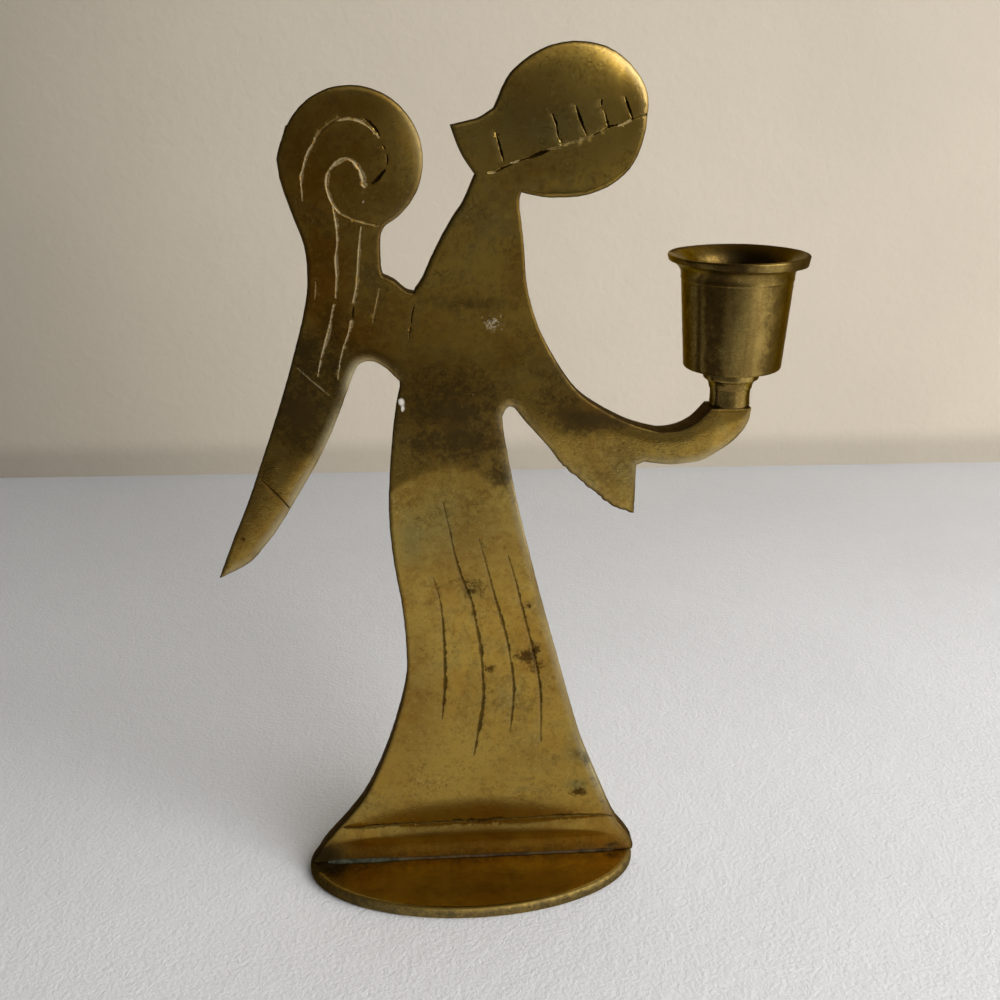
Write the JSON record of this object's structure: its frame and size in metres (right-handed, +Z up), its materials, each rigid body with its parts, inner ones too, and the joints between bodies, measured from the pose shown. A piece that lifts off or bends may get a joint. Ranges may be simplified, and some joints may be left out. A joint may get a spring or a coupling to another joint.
{
  "type": "figural candlestick",
  "caption": "Candlestick cut as a flat cast brass angel on an oval foot, with an engraved face, a scrolled wing, and a turned candle cup held on the outstretched hand.",
  "frame": {"origin": "centre of the oval foot's underside, which stands on the table", "axes": "+Z up; +X towards the hand and its candle cup; the figure's engraved face looks towards -Y"},
  "size_m": [0.1322, 0.044, 0.1984],
  "materials": {
    "foot_brass": "dark golden-brown aged brass, smooth",
    "figure_brass": "aged cast brass with brown tarnish, pits and scratches",
    "cup_brass": "aged turned brass with fine turning marks",
    "screw_brass": "dull aged brass",
    "solder": "grey-green aged soft solder, uneven"
  },
  "bodies": {
    "root": {"base_plate": "foot_brass", "figure_plate": "figure_brass", "solder_front": "solder", "solder_back": "solder", "candle_cup": "cup_brass", "cup_collar": "cup_brass", "cup_neck": "cup_brass", "cup_screw": "screw_brass"}
  },
  "joints": []
}
